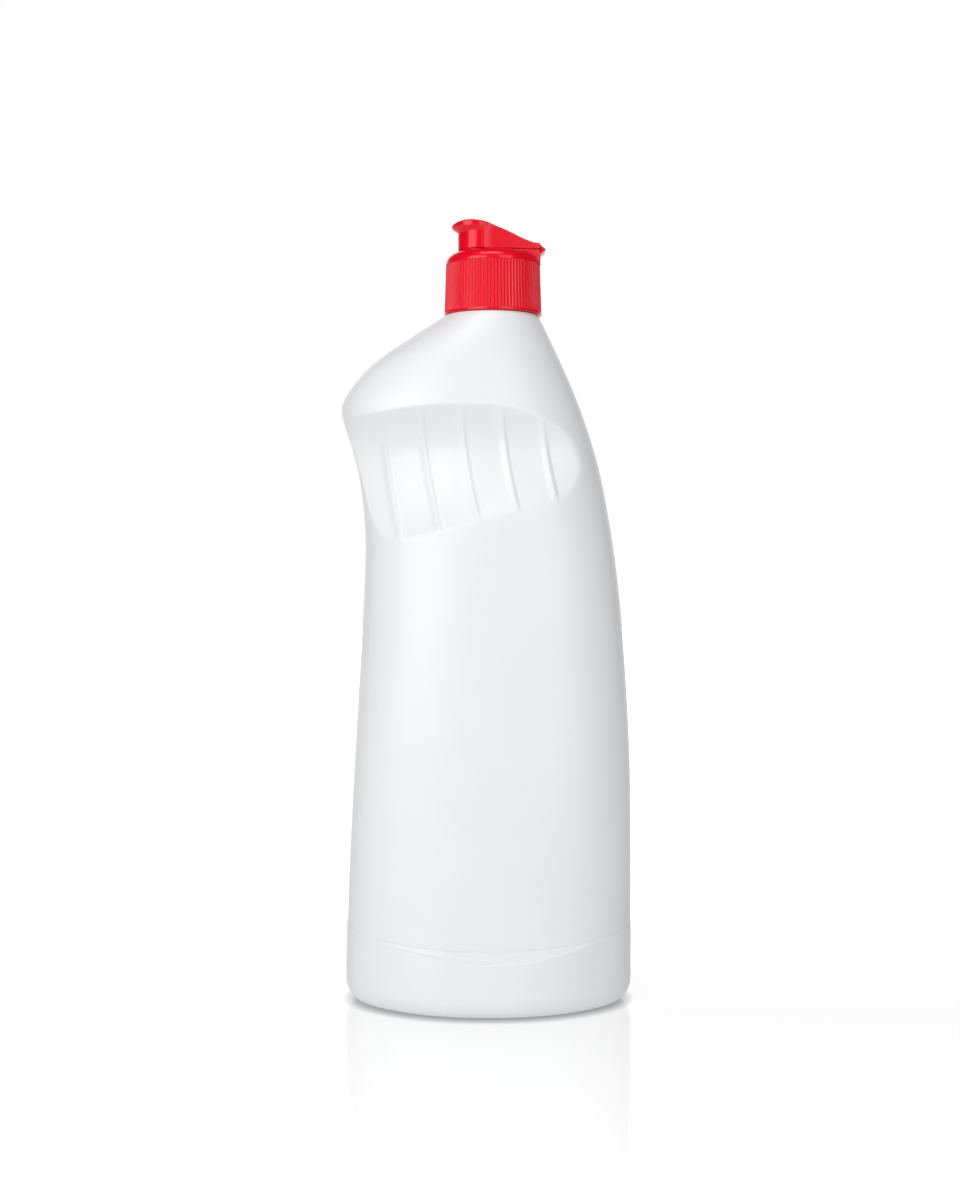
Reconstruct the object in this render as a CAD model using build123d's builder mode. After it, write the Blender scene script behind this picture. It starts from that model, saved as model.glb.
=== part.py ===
from build123d import *
import math
import os

# Squeeze bottle for liquid detergent, blow moulded in white HDPE, with a finger grip scooped into
# both sides, closed by a screw cap in red PP with a flip-up lid on a film hinge.
# All lengths are in millimetres. +Z is up, +X runs from the front nose to the hinge side, and the
# origin is the middle of the outline in plan, on the surface that the bottle stands on.

# Bottle body
half_length = 50.5
body_height = 238.0
panel_half_depth = 29.3
wall = 1.0
cut_overrun = 2.0

# Lines of the body: height as a share of body_height, then the front and back as shares of
# half_length, the depth as a share of panel_half_depth, and the squareness of the plan, which is
# 2 for an ellipse
front_shares = [
    (0.067, -0.962),
    (0.200, -0.943),
    (0.350, -0.908),
    (0.525, -0.861),
    (0.650, -0.834),
    (0.702, -0.842),
    (0.761, -0.875),
    (0.805, -0.925),
    (0.835, -0.972),
    (0.860, -1.000),
    (0.879, -0.978),
    (0.908, -0.883),
    (0.938, -0.737),
    (0.967, -0.535),
    (1.000, -0.295),
]
back_shares = [
    (0.067, 0.996),
    (0.172, 1.000),
    (0.349, 0.994),
    (0.525, 0.949),
    (0.643, 0.893),
    (0.761, 0.798),
    (0.835, 0.701),
    (0.908, 0.570),
    (1.000, 0.368),
]
depth_shares = [
    (0.067, 1.000),
    (0.350, 0.997),
    (0.643, 0.980),
    (0.805, 0.952),
    (0.860, 0.925),
    (0.908, 0.850),
    (0.938, 0.785),
    (0.967, 0.700),
    (1.000, 0.575),
]
squareness_shares = [
    (0.067, 2.30),
    (0.350, 2.30),
    (0.760, 2.20),
    (0.900, 2.10),
    (1.000, 2.00),
]
station_count = 36
oval_points = 24

# Foot: a belly on each face stands out below the label panel, with a sloping ledge between them
foot_step = 0.2
foot_belly = 3.0
belly_reach_share = 0.74
foot_corner_radius = 7.5
ledge_top = 24.0
ledge_depth = 4.0
ledge_reach = 3.0
push_up_height = 3.0
standing_ring_width = 3.4
push_up_slope = 8.0
pinch_length = 46.0
pinch_width = 1.2
pinch_height = 0.5
pinch_root = 0.3

# Finger grip: a turned scoop whose axis leans with the fingers, grooved so that it leaves ribs
scoop_x = 1.4
scoop_z = 197.1
scoop_lean = 7.2
grip_half_depth = 20.0
scoop_waist_radius = 55.3
scoop_flare_radius = 87.4
scoop_front_reach = 58.0
scoop_back_reach = 44.0
rib_count = 5
rib_pitch = 13.55
rib_middle = -8.4
rib_radius = 1.5
rib_sink = 0.7
lip_height = 205.6
lip_drop = 22.0
scoop_fall = 46.0
lip_edge_radius = 1.5
# Lip line over the grip: place along X as a share of half_length, fall as a share of lip_drop
lip_shares = [
    (-1.140, 0.100),
    (-0.867, 0.145),
    (-0.490, 0.032),
    (-0.244, 0.000),
    (0.113, 0.032),
    (0.354, 0.168),
    (0.566, 0.464),
    (0.720, 1.000),
]

# Neck
cap_x = 2.45
neck_radius = 12.9
neck_bore_radius = 10.95
neck_height = 19.1
neck_bead_radius = 14.1
neck_bead_height = 1.3
neck_bead_lift = 1.0
neck_edge_round = 0.5

# Cap body
cap_gap = 0.6
cap_rim_radius = 17.0
cap_top_radius = 16.45
cap_rim_band = 0.8
cap_skirt_height = 18.0
cap_bore_radius = 14.7
cap_land_radius = 13.8
cap_shoulder_height = 3.9
shoulder_out_share = 0.72
shoulder_up_share = 0.66
cap_deck_radius = 11.0
cap_deck_thickness = 1.45
seal_thickness = 0.8
seal_half_clearance = 0.02
seal_inner_radius = 11.25
seal_outer_radius = 13.4
plug_clearance = 0.1
plug_wall = 1.1
plug_length = 3.0
skirt_rib_count = 88
skirt_groove_depth = 0.42
skirt_groove_width = 0.8
skirt_eave = 0.3

# Flip lid and its seat on the deck
lid_x = -2.3
lid_radius = 7.5
lid_wall = 1.2
lid_top_thickness = 1.3
lid_height = 9.9
lid_gap = 0.15
tail_half_width = 4.6
tail_end_x = 19.0
seat_rise = 0.7
tab_x = -3.7
tab_radius = 8.35
tab_thickness = 2.2
tab_round = 0.7
# Upper line of the lid from the tab to the hinge: place as a share of the way from lid_x to
# tail_end_x, height as a share of lid_height
lid_top_shares = [
    (-0.020, 1.000),
    (0.124, 0.925),
    (0.320, 0.760),
    (0.450, 0.650),
    (0.720, 0.380),
    (0.880, 0.255),
    (1.000, 0.220),
]

# Nozzle under the lid and the pin that shuts it
nozzle_radius = 3.1
nozzle_tip_radius = 2.7
nozzle_height = 5.0
nozzle_bore_radius = 1.6
pin_radius = 1.15
pin_reach = 1.4
pin_tip_round = 0.4
pin_post_radius = 2.2
pin_post_gap = 0.35

# Film hinge between the cap body and the lid
hinge_x = 20.3
film_radius = 0.45
film_clearance = 0.1
film_end_inset = 0.4
beak_height = 1.6
beak_root = 0.5

# Heights worked out from the sizes above
neck_top_z = body_height + neck_height
cap_rim_z = body_height + cap_gap
cap_land_z = neck_top_z + seal_thickness + 2 * seal_half_clearance
skirt_top_z = cap_rim_z + cap_skirt_height
deck_z = skirt_top_z + cap_shoulder_height
seat_z = deck_z + seat_rise
lid_z = seat_z + lid_gap
lid_top_z = seat_z + lid_height
hinge_z = seat_z + lid_gap / 2
nozzle_top_z = seat_z + nozzle_height


def along(line, place):
    """Value at a place on the smooth curve through the points of a line of shares."""
    last = len(line) - 1
    slopes = []
    for n in range(last + 1):
        (x0, y0), (x1, y1) = line[max(n - 1, 0)], line[min(n + 1, last)]
        slopes.append((y1 - y0) / (x1 - x0))
    n = max(m for m in range(last) if line[m][0] <= place or m == 0)
    (x0, y0), (x1, y1) = line[n], line[n + 1]
    t = (place - x0) / (x1 - x0)
    return (
        (2 * t**3 - 3 * t**2 + 1) * y0
        + (3 * t**2 - 2 * t**3) * y1
        + (t**3 - 2 * t**2 + t) * (x1 - x0) * slopes[n]
        + (t**3 - t**2) * (x1 - x0) * slopes[n + 1]
    )


def slant(line, size, share):
    """How much wider than the wall a level cut through it is, where the line slopes."""
    step_share = 0.004
    low_share = min(share, 1 - step_share)
    rise = (along(line, low_share + step_share) - along(line, low_share)) * size
    return math.hypot(1, rise / (step_share * body_height))


def oval(front, back, depth, squareness, belly):
    """Points of an oval from front to back along X, swelled by a belly on its two long sides."""
    middle = (front + back) / 2
    half = (back - front) / 2
    points = []
    for step in range(oval_points):
        angle = 2 * math.pi * step / oval_points
        along_share = math.copysign(abs(math.cos(angle)) ** (2 / squareness), math.cos(angle))
        across_share = math.copysign(abs(math.sin(angle)) ** (2 / squareness), math.sin(angle))
        swell_share = max(0.0, 1 - (along_share / belly_reach_share) ** 2) ** 1.5
        points.append(
            (
                middle + half * along_share,
                depth * across_share + math.copysign(belly * swell_share, across_share),
            )
        )
    return points


def station(share, inset):
    """Oval of the body at a share of its height, drawn in by the inset square to the surface."""
    return oval(
        along(front_shares, share) * half_length + inset * slant(front_shares, half_length, share),
        along(back_shares, share) * half_length - inset * slant(back_shares, half_length, share),
        along(depth_shares, share) * panel_half_depth
        - inset * slant(depth_shares, panel_half_depth, share),
        along(squareness_shares, share),
        0,
    )


def station_heights():
    """Shares of the body's height whose stations are evenly spaced along the front line."""
    steps = 400
    low = front_shares[0][0]
    heights = [low + (1 - low) * n / steps for n in range(steps + 1)]
    runs = [0.0]
    for below, above in zip(heights, heights[1:]):
        across = (along(front_shares, above) - along(front_shares, below)) * half_length
        runs.append(runs[-1] + math.hypot((above - below) * body_height, across))
    evenly = [
        next(height for height, run in zip(heights, runs) if run >= runs[-1] * n / station_count)
        for n in range(station_count)
    ]
    return evenly + [1]


# Grip tools: the scoop as the mould has it, and the same scoop grown by the wall for the inside
lip_line = [
    (x_share * half_length, lip_height - fall_share * lip_drop) for x_share, fall_share in lip_shares
]
lean = math.radians(scoop_lean)


# Plane through the scoop's axis, its local Y pointing into the bottle
scoop_plane = Plane(
    origin=(scoop_x, -(grip_half_depth + scoop_waist_radius), scoop_z),
    x_dir=(math.cos(lean), 0, math.sin(lean)),
    z_dir=(-math.sin(lean), 0, math.cos(lean)),
)


def flare(place, growth):
    """Radius of the scoop at a place along its axis."""
    radius = scoop_flare_radius - growth
    return scoop_waist_radius + growth + radius - math.sqrt(radius**2 - place**2)


rib_places = [rib_middle + rib_pitch * (n - (rib_count - 1) / 2) for n in range(rib_count)]

with BuildPart() as grip_scoop:
    with BuildSketch(scoop_plane):
        with BuildLine():
            ThreePointArc(
                (-scoop_front_reach, flare(scoop_front_reach, 0)),
                (0, flare(0, 0)),
                (scoop_back_reach, flare(scoop_back_reach, 0)),
            )
            Polyline(
                (scoop_back_reach, flare(scoop_back_reach, 0)),
                (scoop_back_reach, 0),
                (-scoop_front_reach, 0),
                (-scoop_front_reach, flare(scoop_front_reach, 0)),
            )
        make_face()
        with Locations(*[(place, flare(place, 0) + rib_sink) for place in rib_places]):
            Circle(rib_radius, mode=Mode.SUBTRACT)
    revolve(axis=Axis(scoop_plane.origin, scoop_plane.x_dir))
    with BuildSketch(Plane.XZ):
        with BuildLine():
            Spline(*lip_line)
            Polyline(
                lip_line[-1],
                (lip_line[-1][0], lip_height - scoop_fall),
                (lip_line[0][0], lip_height - scoop_fall),
                lip_line[0],
            )
        make_face()
    extrude(amount=2 * panel_half_depth, both=True, mode=Mode.INTERSECT)

with BuildPart() as grip_core:
    with BuildSketch(scoop_plane):
        with BuildLine():
            ThreePointArc(
                (-scoop_front_reach, flare(scoop_front_reach, wall)),
                (0, flare(0, wall)),
                (scoop_back_reach, flare(scoop_back_reach, wall)),
            )
            Polyline(
                (scoop_back_reach, flare(scoop_back_reach, wall)),
                (scoop_back_reach, 0),
                (-scoop_front_reach, 0),
                (-scoop_front_reach, flare(scoop_front_reach, wall)),
            )
        make_face()
    revolve(axis=Axis(scoop_plane.origin, scoop_plane.x_dir))
    with BuildSketch(Plane.XZ):
        raised = [(x, z + wall) for x, z in lip_line]
        with BuildLine():
            Spline(*raised)
            Polyline(
                raised[-1],
                (raised[-1][0], lip_height - scoop_fall),
                (raised[0][0], lip_height - scoop_fall),
                raised[0],
            )
        make_face()
    extrude(amount=2 * panel_half_depth, both=True, mode=Mode.INTERSECT)

# Foot, with the ledge cut as a flared skirt that starts from the label panel's outline
panel_front = front_shares[0][1] * half_length
panel_back = back_shares[0][1] * half_length
squareness = squareness_shares[0][1]
foot_front = panel_front - foot_step
foot_back = panel_back + foot_step
flare_growth = ledge_top * ledge_reach / ledge_depth

with BuildPart() as foot:
    with BuildSketch(Plane.XY):
        with BuildLine():
            Spline(
                *oval(foot_front, foot_back, panel_half_depth + foot_step, squareness, foot_belly),
                periodic=True,
            )
        make_face()
    extrude(amount=ledge_top)
    fillet(foot.edges().group_by(Axis.Z)[0], radius=foot_corner_radius)
    with BuildSketch(Plane.XY):
        with BuildLine():
            Spline(
                *oval(
                    foot_front - flare_growth,
                    foot_back + flare_growth,
                    panel_half_depth + foot_step + flare_growth,
                    squareness,
                    0,
                ),
                periodic=True,
            )
        make_face()
    with BuildSketch(Plane.XY.offset(ledge_top)):
        with BuildLine():
            Spline(
                *oval(foot_front, foot_back, panel_half_depth + foot_step, squareness, 0),
                periodic=True,
            )
        make_face()
    loft(ruled=True, mode=Mode.INTERSECT)

# Inside of the bottle: the body and the foot drawn in by the wall, around the grip
with BuildPart() as cavity:
    for share in station_heights()[:-1]:
        with BuildSketch(Plane.XY.offset(share * body_height)):
            with BuildLine():
                Spline(*station(share, wall), periodic=True)
            make_face()
    with BuildSketch(Plane.XY.offset(body_height - wall)):
        with BuildLine():
            Spline(*station(1, wall), periodic=True)
        make_face()
    loft()
    add(grip_core.part, mode=Mode.SUBTRACT)
    add(grip_core.part.mirror(Plane.XZ), mode=Mode.SUBTRACT)

with BuildPart() as foot_cavity:
    with BuildSketch(Plane.XY.offset(wall)):
        with BuildLine():
            Spline(
                *oval(
                    foot_front + wall,
                    foot_back - wall,
                    panel_half_depth + foot_step - wall,
                    squareness,
                    foot_belly,
                ),
                periodic=True,
            )
        make_face()
    extrude(amount=ledge_top - ledge_depth - 2 * wall)
    fillet(foot_cavity.edges().group_by(Axis.Z)[0], radius=foot_corner_radius - wall)

# Push-up under the foot, which leaves a standing ring
ring_inset = foot_corner_radius + standing_ring_width

with BuildPart() as push_up:
    for height, inset in ((0, ring_inset), (push_up_height, ring_inset + push_up_slope)):
        with BuildSketch(Plane.XY.offset(height)):
            with BuildLine():
                Spline(
                    *oval(
                        foot_front + inset,
                        foot_back - inset,
                        panel_half_depth + foot_belly - inset,
                        2,
                        0,
                    ),
                    periodic=True,
                )
            make_face()
    loft(ruled=True)

with BuildPart() as push_up_core:
    for height, inset in (
        (wall, ring_inset - wall),
        (push_up_height + wall, ring_inset + push_up_slope - wall),
    ):
        with BuildSketch(Plane.XY.offset(height)):
            with BuildLine():
                Spline(
                    *oval(
                        foot_front + inset,
                        foot_back - inset,
                        panel_half_depth + foot_belly - inset,
                        2,
                        0,
                    ),
                    periodic=True,
                )
            make_face()
    loft(ruled=True)

with BuildPart() as bottle:
    for share in station_heights():
        with BuildSketch(Plane.XY.offset(share * body_height)):
            with BuildLine():
                Spline(*station(share, 0), periodic=True)
            make_face()
    loft()
    add(grip_scoop.part, mode=Mode.SUBTRACT)
    add(grip_scoop.part.mirror(Plane.XZ), mode=Mode.SUBTRACT)
    lips = [
        edge
        for edge in bottle.edges()
        if edge.length > half_length
        and abs(edge.center().Y) > grip_half_depth
        and lip_height - lip_drop < edge.center().Z < lip_height + lip_edge_radius
    ]
    fillet(lips, radius=lip_edge_radius)
    add(foot.part)
    with BuildSketch(Plane.XZ.move(Location((cap_x, 0, 0)))):
        with BuildLine():
            Polyline(
                (0, body_height - wall),
                (neck_radius, body_height - wall),
                (neck_radius, body_height + neck_bead_lift),
                (neck_bead_radius, body_height + neck_bead_lift),
                (neck_bead_radius, body_height + neck_bead_lift + neck_bead_height),
                (neck_radius, body_height + neck_bead_lift + neck_bead_height),
                (neck_radius, neck_top_z - neck_edge_round),
                (neck_radius - neck_edge_round, neck_top_z),
                (0, neck_top_z),
                close=True,
            )
        make_face()
    revolve(axis=Axis((cap_x, 0, 0), (0, 0, 1)))
    add(cavity.part, mode=Mode.SUBTRACT)
    add(foot_cavity.part - push_up_core.part, mode=Mode.SUBTRACT)
    add(push_up.part, mode=Mode.SUBTRACT)
    with Locations(((foot_front + foot_back) / 2, 0, push_up_height + pinch_root)):
        Box(
            pinch_length,
            pinch_width,
            pinch_height + pinch_root,
            align=(Align.CENTER, Align.CENTER, Align.MAX),
        )
    with Locations((cap_x, 0, body_height - 2 * wall)):
        Cylinder(
            neck_bore_radius,
            neck_height + 2 * wall + cut_overrun,
            align=(Align.CENTER, Align.CENTER, Align.MIN),
            mode=Mode.SUBTRACT,
        )

# Ring of soft foam between the neck and the cap's land
with BuildPart() as sealing_ring:
    with BuildSketch(Plane.XY.offset(neck_top_z + seal_half_clearance)):
        with Locations((cap_x, 0)):
            Circle(seal_outer_radius)
            Circle(seal_inner_radius, mode=Mode.SUBTRACT)
    extrude(amount=seal_thickness)


def keyhole(inset):
    """Plan of the lid and its seat: a round front and a straight tail to the hinge."""
    with Locations((lid_x, 0)):
        Circle(lid_radius - inset)
    with Locations(((lid_x + tail_end_x - inset) / 2, 0)):
        Rectangle(tail_end_x - inset - lid_x, 2 * (tail_half_width - inset))


# One groove between two ribs of the skirt, along the skirt's taper
skirt_rise = skirt_top_z - cap_rim_z - cap_rim_band
skirt_slope = math.atan2(cap_rim_radius - cap_top_radius, skirt_rise)
groove_open_share = (skirt_groove_depth + cut_overrun) / skirt_groove_depth

with BuildPart() as groove:
    with BuildSketch(
        Plane(
            origin=(cap_rim_radius, 0, cap_rim_z + cap_rim_band),
            x_dir=(math.cos(skirt_slope), 0, math.sin(skirt_slope)),
            z_dir=(-math.sin(skirt_slope), 0, math.cos(skirt_slope)),
        )
    ):
        Polygon(
            (-skirt_groove_depth, 0),
            (cut_overrun, -skirt_groove_width * groove_open_share / 2),
            (cut_overrun, skirt_groove_width * groove_open_share / 2),
            align=None,
        )
    extrude(amount=skirt_rise - skirt_eave)

# Cap body: skirt, shoulder, deck, plug seal, seat of the lid, nozzle and its half of the hinge
with BuildPart() as cap_body:
    with BuildSketch(Plane.XZ.move(Location((cap_x, 0, 0)))):
        with BuildLine():
            Line((0, deck_z - cap_deck_thickness), (0, deck_z))
            Line((0, deck_z), (cap_deck_radius, deck_z))
            ThreePointArc(
                (cap_deck_radius, deck_z),
                (
                    cap_deck_radius + shoulder_out_share * (cap_top_radius - cap_deck_radius),
                    skirt_top_z + shoulder_up_share * cap_shoulder_height,
                ),
                (cap_top_radius, skirt_top_z),
            )
            Polyline(
                (cap_top_radius, skirt_top_z),
                (cap_rim_radius, cap_rim_z + cap_rim_band),
                (cap_rim_radius, cap_rim_z),
                (cap_bore_radius, cap_rim_z),
                (cap_bore_radius, cap_land_z - (cap_bore_radius - cap_land_radius)),
                (cap_land_radius, cap_land_z),
                (neck_bore_radius - plug_clearance, cap_land_z),
                (neck_bore_radius - plug_clearance, cap_land_z - plug_length),
                (neck_bore_radius - plug_clearance - plug_wall, cap_land_z - plug_length),
                (neck_bore_radius - plug_clearance - plug_wall, deck_z - cap_deck_thickness),
                (0, deck_z - cap_deck_thickness),
            )
        make_face()
    revolve(axis=Axis((cap_x, 0, 0), (0, 0, 1)))
    with Locations((cap_x, 0, 0)):
        with PolarLocations(0, skirt_rib_count):
            add(groove.part, mode=Mode.SUBTRACT)
    with BuildSketch(Plane.XY.offset(deck_z - cap_deck_thickness / 2)):
        keyhole(0)
    extrude(amount=cap_deck_thickness / 2 + seat_rise)
    with BuildSketch(Plane.XZ):
        Polygon(
            (cap_x + cap_bore_radius, skirt_top_z),
            (tail_end_x, skirt_top_z),
            (tail_end_x, seat_z),
            (cap_x, seat_z),
            (cap_x, deck_z - cap_deck_thickness / 2),
            (cap_x + cap_deck_radius, deck_z - cap_deck_thickness / 2),
            (cap_x + cap_bore_radius, cap_land_z),
            align=None,
        )
    extrude(amount=tail_half_width, both=True)
    with BuildSketch(Plane.XZ):
        Polygon(
            (tail_end_x - beak_root, seat_z),
            (hinge_x, seat_z),
            (hinge_x + film_radius / 2, hinge_z - film_radius / 2),
            (tail_end_x - beak_root, seat_z - beak_height),
            align=None,
        )
        with Locations((hinge_x, hinge_z)):
            Circle(film_radius)
    extrude(amount=tail_half_width - film_end_inset, both=True)
    with Locations((lid_x, 0, seat_z - seat_rise / 2)):
        Cone(
            nozzle_radius,
            nozzle_tip_radius,
            nozzle_height + seat_rise / 2,
            align=(Align.CENTER, Align.CENTER, Align.MIN),
        )
    with Locations((lid_x, 0, cap_land_z)):
        Cylinder(
            nozzle_bore_radius,
            nozzle_top_z - cap_land_z + cut_overrun,
            align=(Align.CENTER, Align.CENTER, Align.MIN),
            mode=Mode.SUBTRACT,
        )

# Flip lid: a thin shell under its sloping top, with a thumb tab, a sealing pin and its half of
# the hinge
lid_run = tail_end_x - lid_x


def lid_line(drop):
    """Upper line of the lid in side view, lowered by the drop."""
    return [
        (lid_x + x_share * lid_run, seat_z + z_share * lid_height - drop)
        for x_share, z_share in lid_top_shares
    ]


def frame_under(line):
    """Corners that close the side view of the space under a line, run out past the lid."""
    front = tab_x - tab_radius - cut_overrun
    back = hinge_x + cut_overrun
    return [
        line[-1],
        (back, line[-1][1]),
        (back, seat_z - cut_overrun),
        (front, seat_z - cut_overrun),
        (front, line[0][1]),
        line[0],
    ]


with BuildPart() as lid_inside:
    with BuildSketch(Plane.XY.offset(seat_z)):
        keyhole(lid_wall)
    extrude(amount=lid_height)
    with BuildSketch(Plane.XZ):
        with BuildLine():
            Spline(*lid_line(lid_top_thickness))
            Polyline(*frame_under(lid_line(lid_top_thickness)))
        make_face()
    extrude(amount=2 * lid_radius, both=True, mode=Mode.INTERSECT)

# Thumb tab with both edges rounded, and the pin that goes into the nozzle's bore
with BuildPart() as thumb_tab:
    with Locations((tab_x, 0, lid_top_z - tab_thickness)):
        Cylinder(tab_radius, tab_thickness, align=(Align.CENTER, Align.CENTER, Align.MIN))
    fillet(thumb_tab.edges().filter_by(GeomType.CIRCLE), radius=tab_round)

with BuildPart() as pin:
    with Locations((lid_x, 0, nozzle_top_z - pin_reach)):
        Cylinder(
            pin_radius,
            pin_reach + pin_post_gap,
            align=(Align.CENTER, Align.CENTER, Align.MIN),
        )
    fillet(pin.edges().filter_by(GeomType.CIRCLE).group_by(Axis.Z)[0], radius=pin_tip_round)

with BuildPart() as flip_lid:
    with BuildSketch(Plane.XY.offset(lid_z)):
        keyhole(0)
    extrude(amount=lid_top_z - lid_z)
    add(thumb_tab.part)
    with BuildSketch(Plane.XZ):
        with BuildLine():
            Spline(*lid_line(0))
            Polyline(*frame_under(lid_line(0)))
        make_face()
    extrude(amount=2 * tab_radius, both=True, mode=Mode.INTERSECT)
    add(lid_inside.part, mode=Mode.SUBTRACT)
    with Locations((lid_x, 0, nozzle_top_z + pin_post_gap)):
        Cylinder(
            pin_post_radius,
            lid_top_z - lid_top_thickness / 2 - nozzle_top_z - pin_post_gap,
            align=(Align.CENTER, Align.CENTER, Align.MIN),
        )
    add(pin.part)
    with BuildSketch(Plane.XZ):
        Polygon(
            (tail_end_x - beak_root, lid_z),
            (hinge_x, lid_z),
            (tail_end_x - beak_root, lid_z + beak_height),
            align=None,
        )
    extrude(amount=tail_half_width - film_end_inset, both=True)
    with BuildSketch(Plane.XZ):
        with Locations((hinge_x, hinge_z)):
            Circle(film_radius + film_clearance)
    extrude(amount=tail_half_width + cut_overrun, both=True, mode=Mode.SUBTRACT)

bottle.part.label = "bottle"
sealing_ring.part.label = "sealing_ring"
cap_body.part.label = "cap_body"
flip_lid.part.label = "flip_lid"

os.makedirs("parts", exist_ok=True)
export_step(bottle.part, "parts/bottle.step")
export_step(sealing_ring.part, "parts/sealing_ring.step")
export_step(cap_body.part, "parts/cap_body.step")
export_step(flip_lid.part, "parts/flip_lid.step")
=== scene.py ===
# %% [markdown]
# # Squeeze bottle for liquid detergent, with a flip-top screw cap
#
# The object is a litre bottle blow moulded in white polyethylene, with a finger grip pressed
# into both sides, and a red screw cap injection moulded in polypropylene. The cap's small lid
# flips up on a film hinge over a nozzle.
#
# The solids of the part are loaded first and stay where they are. Each surface below stands
# for one of them and moves with its body: the bottle, the sealing ring, the cap or the lid.
# Lengths are in millimetres until a mesh is made. Only the studio is written in metres.

# %% The frame that every surface is built around
import math

import bpy
import numpy as np
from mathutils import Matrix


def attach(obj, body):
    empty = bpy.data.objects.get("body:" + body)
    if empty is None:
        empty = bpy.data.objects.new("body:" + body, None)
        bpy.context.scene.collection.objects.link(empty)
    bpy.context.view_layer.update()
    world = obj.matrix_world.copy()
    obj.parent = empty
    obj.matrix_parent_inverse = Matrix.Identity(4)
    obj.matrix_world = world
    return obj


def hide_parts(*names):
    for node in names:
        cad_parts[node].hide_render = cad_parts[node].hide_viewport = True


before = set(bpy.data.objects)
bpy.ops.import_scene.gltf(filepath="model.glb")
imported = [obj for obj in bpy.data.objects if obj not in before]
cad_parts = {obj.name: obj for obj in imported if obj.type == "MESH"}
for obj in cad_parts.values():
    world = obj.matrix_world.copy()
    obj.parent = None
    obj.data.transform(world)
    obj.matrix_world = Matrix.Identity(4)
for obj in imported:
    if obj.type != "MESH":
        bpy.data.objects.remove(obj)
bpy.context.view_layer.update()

# %% [markdown]
# ## Smooth curves
#
# Moulded plastic has no sharp edge, because a mould can't be cut that sharp and the edge is
# what catches the light. A modifier could round the edges afterwards. Here the formulas round
# them, so that a rounding can also fade along its edge, as it does round the grip.

# %% Smooth curves
def along(line, place):
    """Smooth curve y(x) through the points of a table: a cubic between each two points,
    y = h00 y0 + h10 m0 dx + h01 y1 + h11 m1 dx, whose slopes m come from the neighbours."""
    x, y = np.array(line).T
    wide_x, wide_y = np.pad(x, 1, "edge"), np.pad(y, 1, "edge")
    slope = (wide_y[2:] - wide_y[:-2]) / (wide_x[2:] - wide_x[:-2])
    place = np.clip(place, x[0], x[-1])
    n = np.clip(np.searchsorted(x, place, "right") - 1, 0, len(x) - 2)
    run = x[n + 1] - x[n]
    t = (place - x[n]) / run
    return (
        (2 * t**3 - 3 * t**2 + 1) * y[n] + (3 * t**2 - 2 * t**3) * y[n + 1]
        + (t**3 - 2 * t**2 + t) * run * slope[n] + (t**3 - t**2) * run * slope[n + 1]
    )


def soft_min(a, b, reach):
    """The smaller of two lengths, with a rounded change: (a + b - sqrt((a - b)^2 + r^2)) / 2."""
    return (a + b - np.sqrt((a - b) ** 2 + reach**2)) / 2


def soft_max(a, b, reach):
    """The larger of two lengths, with a rounded change: (a + b + sqrt((a - b)^2 + r^2)) / 2."""
    return (a + b + np.sqrt((a - b) ** 2 + reach**2)) / 2


def ease(t):
    """Smooth step from 0 to 1: 3 t^2 - 2 t^3."""
    t = np.clip(t, 0, 1)
    return t * t * (3 - 2 * t)


print("a smooth step at each quarter:", ease(np.linspace(0, 1, 5)).tolist())

# %% [markdown]
# ## Profiles
#
# Neck, cap and nozzle are round, so one side of their section says all. A lathe turns it: the
# profile is drawn with straight legs, its corners are rounded, and it goes round the axis.

# %% Profiles
def rounded(corners, radii, step=0.8, arc_steps=7):
    """Path of straight legs whose corners are parabolas P(t) = (1-t)^2 A + 2t(1-t) C + t^2 B,
    starting one radius before each corner. No two points are further apart than the step."""
    corners = np.array(corners, float)
    t = np.linspace(0, 1, arc_steps)[:, None]
    path = [corners[:1]]
    for before, corner, after, radius in zip(corners, corners[1:], corners[2:], radii):
        start = corner + (before - corner) / np.linalg.norm(before - corner) * radius
        end = corner + (after - corner) / np.linalg.norm(after - corner) * radius
        path.append((1 - t) ** 2 * start + 2 * t * (1 - t) * corner + t**2 * end)
    path = np.concatenate([*path, corners[-1:]])
    lengths = np.linalg.norm(np.diff(path, axis=0), axis=1)
    counts = np.maximum(np.ceil(lengths / step), 1).astype(int)
    parts = [
        a + (b - a) * np.linspace(0, 1, count, endpoint=False)[:, None]
        for a, b, count, length in zip(path, path[1:], counts, lengths)
        if length > 1e-6
    ]
    return np.concatenate([*parts, path[-1:]])


def turned(path, centre, columns, radius_of=None):
    """Rings about a vertical axis: x = centre + r cos a, y = r sin a, z = z, where the radius
    may depend on the angle."""
    angle = np.linspace(0, 2 * np.pi, columns, endpoint=False)
    radius = np.repeat(path[:, :1], columns, axis=1)
    height = np.repeat(path[:, 1:], columns, axis=1)
    if radius_of:
        radius = radius_of(radius, height, angle)
    return np.dstack([centre + radius * np.cos(angle), radius * np.sin(angle), height])


print("a rounded corner takes", len(rounded([(0, 0), (2, 0), (2, 2)], [0.5])), "points")

# %% [markdown]
# ## From a grid to a piece
#
# Every surface is a grid of points: each row is a closed ring, and the rows run from one end
# of the piece to the other. An end closes on a single point or tucks in behind another piece.
# Four neighbours make a face. The piece then rides on its body and stands for its solid.

# %% From a grid to a piece
MM = 0.001


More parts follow.
